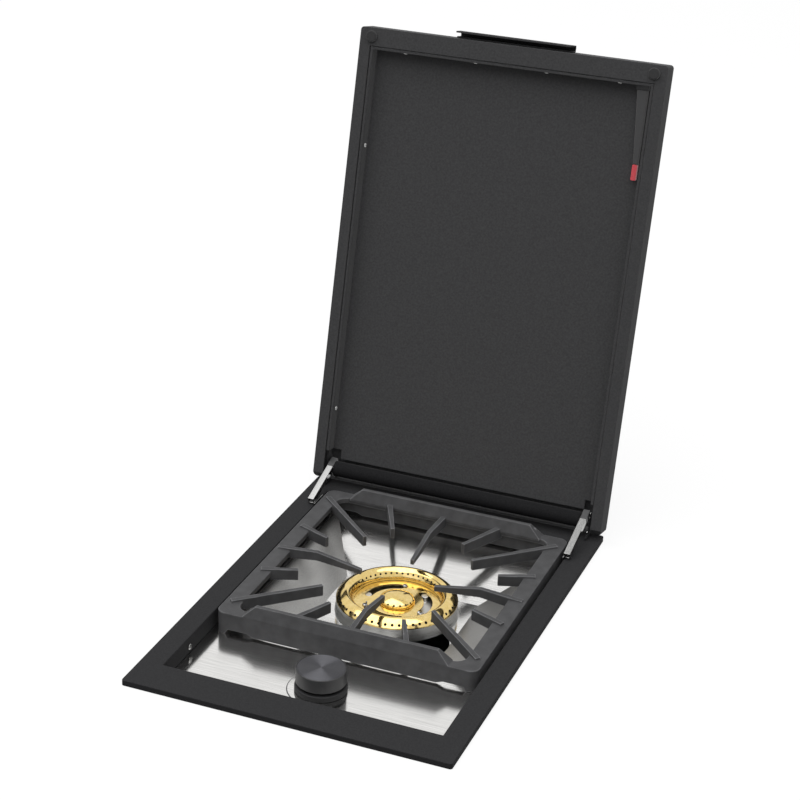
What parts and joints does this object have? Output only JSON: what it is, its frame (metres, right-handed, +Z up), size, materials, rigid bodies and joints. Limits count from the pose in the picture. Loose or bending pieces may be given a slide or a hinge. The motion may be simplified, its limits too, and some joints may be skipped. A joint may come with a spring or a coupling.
{
  "type": "built in side burner",
  "caption": "Drop-in gas side burner for an outdoor kitchen: black bezel, steel well, brass burner, iron pan support, knob, lid open on stays",
  "frame": {"origin": "middle of the front run of the bench seal's underside, where the unit rests on the bench", "axes": "+X right, +Y back, +Z up, seen from the side that the cook stands at"},
  "size_m": [0.37, 0.655, 0.6703],
  "materials": {
    "black_coat": "matt black coating",
    "lid_coat": "matt black coating",
    "stainless": "brushed",
    "cast_iron": "matt black enamel",
    "brass": "polished",
    "aluminium": "as cast",
    "zinc_steel": "zinc plated",
    "bright_steel": "polished",
    "black_rubber": "matt",
    "black_plastic": "satin",
    "spun_metal": "radially spun, dark",
    "red_plastic": "satin",
    "white_ceramic": "glazed"
  },
  "bodies": {
    "unit": {"bezel_frame": "black_coat", "bench_seal": "black_rubber", "burner_pan": "stainless", "lower_box": "zinc_steel", "clamp_bracket_front_left": "zinc_steel", "clamp_bolt_front_left": "zinc_steel", "clamp_bracket_front_right": "zinc_steel", "clamp_bolt_front_right": "zinc_steel", "clamp_bracket_back_left": "zinc_steel", "clamp_bolt_back_left": "zinc_steel", "clamp_bracket_back_right": "zinc_steel", "clamp_bolt_back_right": "zinc_steel", "wall_screw_left": "bright_steel", "wall_screw_right": "bright_steel", "burner_cup": "aluminium", "flame_ring": "brass", "burner_plate": "brass", "centre_cap": "brass", "plate_screw_1": "bright_steel", "plate_screw_2": "bright_steel", "plate_screw_3": "bright_steel", "igniter_ceramic": "white_ceramic", "igniter_electrode": "bright_steel", "flame_sensor": "bright_steel", "mixer_tube": "zinc_steel", "jet_holder": "brass", "gas_valve": "brass", "feed_pipe": "aluminium", "outlet_pipe": "aluminium", "gas_inlet": "brass", "spark_box": "black_plastic", "ignition_lead": "black_rubber", "knob_ring": "black_plastic", "hinge_bracket_left": "zinc_steel", "hinge_bracket_right": "zinc_steel", "hinge_pin_left": "bright_steel", "hinge_pin_right": "bright_steel", "stay_guide_left": "bright_steel", "stay_guide_right": "bright_steel"},
    "lid": {"lid_shell": "lid_coat", "lid_liner": "lid_coat", "lid_tube": "lid_coat", "lid_handle": "black_coat", "wand_holder": "black_rubber", "hinge_leaf_left": "zinc_steel", "hinge_leaf_right": "zinc_steel", "tube_plug_left": "lid_coat", "tube_plug_right": "lid_coat", "lid_bumper_left": "black_rubber", "lid_bumper_right": "black_rubber"},
    "wand": {"lighting_wand": "black_plastic", "wand_tip": "red_plastic"},
    "push_collar": {"valve_collar": "brass", "valve_spring": "bright_steel"},
    "knob": {"valve_stem": "bright_steel", "knob_body": "black_plastic", "knob_disc": "spun_metal"},
    "support": {"pan_support": "cast_iron"},
    "stay_left": {"stay_arm_left": "bright_steel"},
    "stay_right": {"stay_arm_right": "bright_steel"}
  },
  "joints": [
    {"name": "lid_hinge", "type": "hinge", "parent": "unit", "child": "lid", "pos_m": [0, 0.52035, 0.02908], "axis": [1, 0, 0], "range_deg": [0, 102.6]},
    {"name": "stay_left_turn", "type": "hinge", "parent": "lid", "child": "stay_left", "pos_m": [-0.1624, 0.5125, 0.03338], "axis": [1, 0, 0], "range_deg": [-119.2, 0]},
    {"name": "stay_right_turn", "type": "hinge", "parent": "lid", "child": "stay_right", "pos_m": [0.1624, 0.5125, 0.03338], "axis": [1, 0, 0], "range_deg": [-119.2, 0]},
    {"name": "support_lift", "type": "slide", "parent": "unit", "child": "support", "axis": [0, 0, 1], "range_m": [0, 0.06]},
    {"name": "knob_push", "type": "slide", "parent": "unit", "child": "push_collar", "axis": [0, 0, -1], "range_m": [0, 0.003], "stiffness_N_per_m": 900, "springref_m": -0.004, "deforming": ["valve_spring"]},
    {"name": "knob_turn", "type": "hinge", "parent": "push_collar", "child": "knob", "pos_m": [0, 0.0945, 0.0068], "axis": [0, 0, 1], "range_deg": [0, 210]},
    {"name": "wand_pull", "type": "slide", "parent": "lid", "child": "wand", "axis": [0, -0.2181, -0.9759], "range_m": [0, 0.04]}
  ],
  "couplings": [
    {"joint": "stay_left_turn", "follows": "lid_hinge", "ratio": -1.1594},
    {"joint": "stay_right_turn", "follows": "lid_hinge", "ratio": -1.1594}
  ]
}
